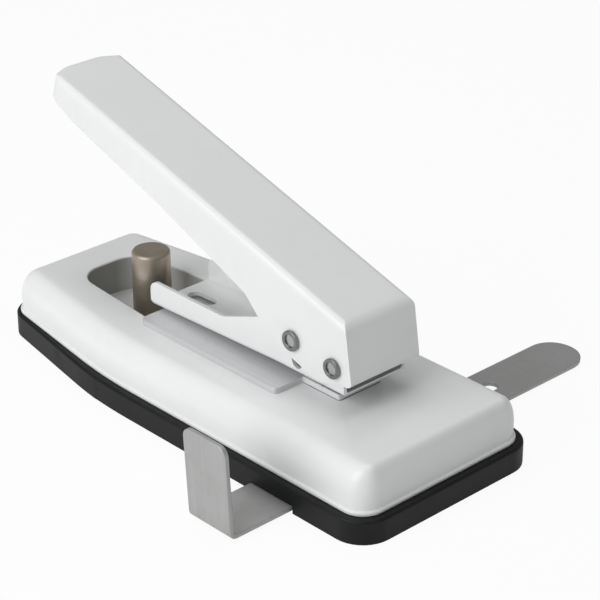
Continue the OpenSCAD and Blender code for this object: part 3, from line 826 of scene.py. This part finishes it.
class PUNCH_OT_frame(bpy.types.Operator):
    """Fold the white frame that carries the pivot and guides the punch"""

    bl_idname = "punch.frame"
    bl_label = "Frame"

    def execute(self, context):
        mesh = bevelled(merged_copy("frame"), sizes().break_edge)
        as_piece("jaw_frame", mesh, "base", "frame", "enamel")
        return {"FINISHED"}


class PUNCH_OT_jaws(bpy.types.Operator):
    """Grind the card table, die, spacer, punch and their guides"""

    bl_idname = "punch.jaws"
    bl_label = "Jaws and punch"

    def execute(self, context):
        edge, cutting_edge = sizes().break_edge, 0.05 * MM
        for name, node, body, kind, width in (
            ("table", "card_table", "base", "nickel", edge),
            ("die", "die_insert", "base", "tool", cutting_edge),
            ("die_holder", "die_block", "base", "block", edge),
            ("spacer", "throat_spacer", "base", "block", edge),
            ("guide_cheek_front", "cheek_front", "base", "block", edge),
            ("guide_cheek_rear", "cheek_rear", "base", "block", edge),
            ("slot_punch", "punch", "plunger", "tool", edge),
        ):
            as_piece(name, bevelled(merged_copy(node), width), body, node, kind)
        return {"FINISHED"}


class PUNCH_OT_post(bpy.types.Operator):
    """Turn the stop post that the lever comes down on"""

    bl_idname = "punch.post"
    bl_label = "Stop post"

    def execute(self, context):
        as_piece("post", smooth(merged_copy("stop_post", ROUND), 25.0), "base", "stop_post", "post")
        screw = bevelled(merged_copy("stop_post_screw", ROUND), 0.15 * MM)
        as_piece("post_screw", screw, "base", "stop_post_screw", "dark_zinc")
        return {"FINISHED"}


class PUNCH_OT_guide(bpy.types.Operator):
    """Fold the sliding side guide and fit its screw and washer"""

    bl_idname = "punch.guide"
    bl_label = "Side guide"

    def execute(self, context):
        mesh = bevelled(merged_copy("side_guide"), sizes().break_edge)
        as_piece("card_guide", mesh, "guide", "side_guide", "sheet")
        clear_of_strip = Matrix.Translation((0, 0, -0.04 * MM))
        for name, node in (("clamp_screw", "guide_screw"), ("clamp_washer", "guide_washer")):
            mesh = bevelled(merged_copy(node, ROUND), 0.1 * MM)
            mesh.transform(clear_of_strip)
            as_piece(name, mesh, "base", node, "dark_zinc")
        return {"FINISHED"}


class PUNCH_OT_pins(bpy.types.Operator):
    """Fit the pivot pin and drive pin with their dished caps"""

    bl_idname = "punch.pins"
    bl_label = "Pins and caps"

    def execute(self, context):
        ring = self.ring_tree()
        for node, body in (("pivot_pin", "base"), ("drive_pin", "lever")):
            as_piece(node + "_bar", smooth(merged_copy(node, ROUND)), body, node, "pin")
            low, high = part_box(node)
            caps = solids_of(node + "_caps")
            cap_size = caps[0][2] - caps[0][1]
            mesh = ring.grown_on(
                points_mesh([middle for middle, *_ in caps]), Bore=(high.z - low.z) / 2,
                Rim=cap_size.z / 2, Height=cap_size.y, Chamfer=0.35 * MM,
            )
            as_piece(node + "_cap_rings", smooth(mesh, 40.0), body, node + "_caps", "zinc")
        return {"FINISHED"}

    def ring_tree(self):
        """A rounded ring round the pin at each point, its axis across the base."""
        t = Tree("pin_cap")
        bore, rim, height, chamfer = (t.size(n) for n in ("Bore", "Rim", "Height", "Chamfer"))
        middle = t.sum(t.sum(bore, rim), 0.5, "MULTIPLY")
        path = t.add("GeometryNodeCurvePrimitiveCircle", {"mode": "RADIUS"}, Resolution=56,
                     Radius=middle)
        band = t.add("GeometryNodeCurvePrimitiveQuadrilateral", {"mode": "RECTANGLE"},
                     Width=t.sum(rim, bore, "SUBTRACT"), Height=height)
        band = t.add("GeometryNodeFilletCurve", {"mode": "POLY"}, Curve=band, Radius=chamfer,
                     Count=3)
        ring = t.add("GeometryNodeCurveToMesh", None, Curve=path, Profile_Curve=band)
        placed = t.add("GeometryNodeInstanceOnPoints", None, Points=t.source.outputs[0],
                       Instance=ring, Rotation=(math.pi / 2, 0.0, 0.0))
        t.end(placed, finish("zinc"))
        return t


class PUNCH_OT_screws(bpy.types.Operator):
    """Set the cap screws of the frame and the screws under the tray"""

    bl_idname = "punch.screws"
    bl_label = "Screws"

    def execute(self, context):
        shank = 3.0
        for name, node, head, drive, deep, sides, up in (
            ("frame_cap_screws", "frame_bolts", 2.4, 2.8, 1.6, 6, 1.0),
            ("tray_screws", "base_screws", 1.8, 2.4, 1.0, 4, -1.0),
        ):
            found = solids_of(node)
            size = found[0][2] - found[0][1]
            tree = self.screw_tree(node, sides, up)
            mesh = tree.grown_on(
                points_mesh([(m.x, m.y, high.z if up > 0 else low.z) for m, low, high in found]),
                Head_width=size.x, Head_height=head * MM, Shank_width=shank * MM, Length=size.z,
                Drive_width=drive * MM, Drive_depth=deep * MM,
            )
            as_piece(name, smooth(mesh, 40.0), "base", node, "dark_zinc")
        return {"FINISHED"}

    def screw_tree(self, node, sides, up):
        """A screw at each point, which is the middle of its head's outer face. The drive has
        so many sides, and up is 1 for a screw put in from above and -1 for one from below."""
        t = Tree(node + "_pattern")
        names = ("Head width", "Head height", "Shank width", "Length", "Drive width", "Drive depth")
        head_w, head_h, shank_w, whole, drive_w, drive_d = (t.size(n) for n in names)

        def bar(width, long, top, count):
            """An upright bar of count sides that starts this far in from the outer face."""
            made = t.add("GeometryNodeMeshCylinder", {"fill_type": "NGON"}, Vertices=count,
                         Radius=t.sum(width, 0.5, "MULTIPLY"), Depth=long)
            drop = t.sum(t.sum(t.sum(long, 0.5, "MULTIPLY"), top), -up, "MULTIPLY")
            shift = t.add("ShaderNodeCombineXYZ", None, Z=drop)
            return t.add("GeometryNodeTransform", None, Geometry=made, Translation=shift)

        head = bar(head_w, head_h, 0.0, 40)
        shank = bar(shank_w, t.sum(whole, head_h, "SUBTRACT"), head_h, 24)
        above, twice = t.sum(drive_d, -1.0, "MULTIPLY"), t.sum(drive_d, 2.0, "MULTIPLY")
        cutter = bar(drive_w, twice, above, sides)
        cut = t.group.nodes.new("GeometryNodeMeshBoolean")
        cut.operation = "DIFFERENCE"
        t.group.links.new(head, cut.inputs["Mesh 1"])
        t.group.links.new(cutter, cut.inputs["Mesh 2"])
        placed = t.add("GeometryNodeInstanceOnPoints", None, Points=t.source.outputs[0],
                       Instance=t.joined(shank, cut.outputs["Mesh"]))
        t.end(placed, finish("dark_zinc"))
        return t


class PUNCH_OT_spring(bpy.types.Operator):
    """Wind the return springs round the pivot pin"""

    bl_idname = "punch.spring"
    bl_label = "Return spring"

    def execute(self, context):
        t = Tree("wound_wire")
        wire = t.size("Wire")
        path = t.add("GeometryNodeMeshToCurve", None, Mesh=t.source.outputs[0])
        section = t.add("GeometryNodeCurvePrimitiveCircle", {"mode": "RADIUS"}, Resolution=12,
                        Radius=wire)
        made = t.add("GeometryNodeCurveToMesh", None, Curve=path, Profile_Curve=section,
                     Fill_Caps=True)
        t.end(made, finish("wire"))
        points, edges = [], []
        for side in (-1, 1):
            coil = self.coil(side)
            edges += [(len(points) + i, len(points) + i + 1) for i in range(len(coil) - 1)]
            points += coil
        mesh = bpy.data.meshes.new("coil_paths")
        mesh.from_pydata(points, edges, [])
        made = t.grown_on(mesh, Wire=sizes().wire / 2)
        as_piece("return_coils", smooth(made, 60.0), "base", "return_spring", "wire")
        return {"FINISHED"}

    def coil(self, side):
        """Middle line of one coil: a leg under the drive pin, five turns, a foot on the web."""
        slack, under_pin, turns, steps_per_turn = 0.5 * MM, 0.1 * MM, 5, 28
        w, pivot, driver = sizes().wire, node_middle("pivot_pin"), node_middle("drive_pin")
        low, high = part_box("return_spring")
        pin_low, pin_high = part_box("pivot_pin")
        pin_r = (pin_high.z - pin_low.z) / 2
        r, pitch = pin_r + slack + w / 2, w + slack
        reach = Vector((pivot.x - driver.x, driver.z - pivot.z))
        tilt = math.atan2(reach.y, reach.x)
        tilt += math.asin((r - pin_r - w / 2 - under_pin) / reach.length)
        start, end = math.radians(270) - tilt, math.radians(180 + 360 * turns)
        leg_y = high.y - w / 2
        foot_y, foot_z = leg_y - turns * pitch, low.z + w / 2
        tip = Vector((-math.cos(tilt), math.sin(tilt))) * (reach.length + 2 * pin_r)
        tip += r * Vector((math.cos(start), math.sin(start)))
        path = [(pivot.x + tip.x, side * leg_y, pivot.z + tip.y)]
        count = steps_per_turn * turns
        for i in range(count + 1):
            a, y = start + (end - start) * i / count, leg_y + (foot_y - leg_y) * i / count
            path.append((pivot.x + r * math.cos(a), side * y, pivot.z + r * math.sin(a)))
        foot_bend = ((0.0, 1.5), (0.5, 0.5), (1.5, 0.0), (6.0, 0.0))
        for back, up in foot_bend:
            path.append((pivot.x - r - back * MM, side * foot_y, foot_z + up * MM))
        return path


class PUNCH_OT_stage(bpy.types.Operator):
    """Lay the pale floor and hang soft studio lights"""

    bl_idname = "punch.stage"
    bl_label = "Studio"

    def execute(self, context):
        self.lay_floor(context)
        self.light_world(context)
        self.hang_lights(context)
        context.scene.view_settings.view_transform = "Standard"
        return {"FINISHED"}

    def lay_floor(self, context):
        """A matt floor that the camera sees nearly, and a mirror half, as plain white."""
        half, level = 6, -0.0002
        white_to_camera, white_to_mirrors = 0.93, 0.5
        corners = [(x * half, y * half, level) for x, y in ((-1, -1), (1, -1), (1, 1), (-1, 1))]
        mesh = bpy.data.meshes.new("floor")
        mesh.from_pydata(corners, [], [(0, 1, 2, 3)])
        p = Paint("studio_floor")
        p.set(Base_Color=tuple(colours().floor), Roughness=0.9, Specular_IOR_Level=0.1)
        path = p.tree.nodes.new("ShaderNodeLightPath")
        glow = p.tree.nodes.new("ShaderNodeEmission")
        mix = p.tree.nodes.new("ShaderNodeMixShader")
        seen = Wire(p, path.outputs["Is Camera Ray"])
        mirrored = Wire(p, path.outputs["Is Glossy Ray"])
        share = seen * white_to_camera + mirrored * white_to_mirrors
        p.tree.links.new(share.socket, mix.inputs[0])
        p.tree.links.new(p.shader.outputs[0], mix.inputs[1])
        p.tree.links.new(glow.outputs[0], mix.inputs[2])
        p.tree.links.new(mix.outputs[0], p.out.inputs["Surface"])
        mesh.materials.append(p.material)
        floor = bpy.data.objects.new("floor", mesh)
        context.scene.collection.objects.link(floor)

    def light_world(self, context):
        """An even surround for the light, and plain white for the camera."""
        world = bpy.data.worlds.new("studio")
        context.scene.world = world
        world.use_nodes = True
        tree = world.node_tree
        tree.nodes.clear()
        path = tree.nodes.new("ShaderNodeLightPath")
        even = tree.nodes.new("ShaderNodeBackground")
        white = tree.nodes.new("ShaderNodeBackground")
        mix = tree.nodes.new("ShaderNodeMixShader")
        out = tree.nodes.new("ShaderNodeOutputWorld")
        even.inputs["Strength"].default_value = studio().surround
        for background in (even, white):
            background.inputs["Color"].default_value = (1, 1, 1, 1)
        tree.links.new(path.outputs["Is Camera Ray"], mix.inputs[0])
        tree.links.new(even.outputs[0], mix.inputs[1])
        tree.links.new(white.outputs[0], mix.inputs[2])
        tree.links.new(mix.outputs[0], out.inputs[0])

    def hang_lights(self, context):
        for name, power, at in (
            ("key", studio().key_power, KEY_LIGHT_AT),
            ("top", studio().top_power, TOP_LIGHT_AT),
        ):
            lamp = bpy.data.lights.new(name, "AREA")
            lamp.energy = power
            lamp.size = LIGHT_SIZE
            light = bpy.data.objects.new(name, lamp)
            light.location = at
            aim = Vector(LIGHTS_LOOK_AT) - Vector(at)
            light.rotation_euler = aim.to_track_quat("-Z", "Y").to_euler()
            context.scene.collection.objects.link(light)


class PUNCH_PT_panel(bpy.types.Panel):
    """Lists the pieces of the slot punch"""

    bl_idname = "PUNCH_PT_panel"
    bl_label = "Slot Punch"
    bl_space_type = "VIEW_3D"
    bl_region_type = "UI"
    bl_category = "Slot Punch"

    def draw(self, context):
        layout = self.layout
        for group in (sizes(), colours(), studio()):
            box = layout.box()
            for key in group.bl_rna.properties.keys():
                if key not in ("rna_type", "name"):
                    box.prop(group, key)
        for operator in OPERATORS:
            layout.operator(operator.bl_idname)


OPERATORS = (
    PUNCH_OT_camera, PUNCH_OT_tray, PUNCH_OT_cover, PUNCH_OT_jaws, PUNCH_OT_frame, PUNCH_OT_lever,
    PUNCH_OT_post, PUNCH_OT_pins, PUNCH_OT_screws, PUNCH_OT_spring, PUNCH_OT_guide, PUNCH_OT_stage,
)
GROUPS = {"punch_sizes": PunchSizes, "punch_colours": PunchColours, "punch_studio": PunchStudio}


def register():
    for kind in (*GROUPS.values(), *OPERATORS, PUNCH_PT_panel):
        bpy.utils.register_class(kind)
    for name, kind in GROUPS.items():
        setattr(bpy.types.Scene, name, PointerProperty(type=kind))


def unregister():
    for name in GROUPS:
        delattr(bpy.types.Scene, name)
    for kind in (PUNCH_PT_panel, *reversed(OPERATORS), *GROUPS.values()):
        bpy.utils.unregister_class(kind)


def main():
    register()
    for operator in OPERATORS:
        family, name = operator.bl_idname.split(".")
        getattr(getattr(bpy.ops, family), name)()


if __name__ == "__main__":
    main()
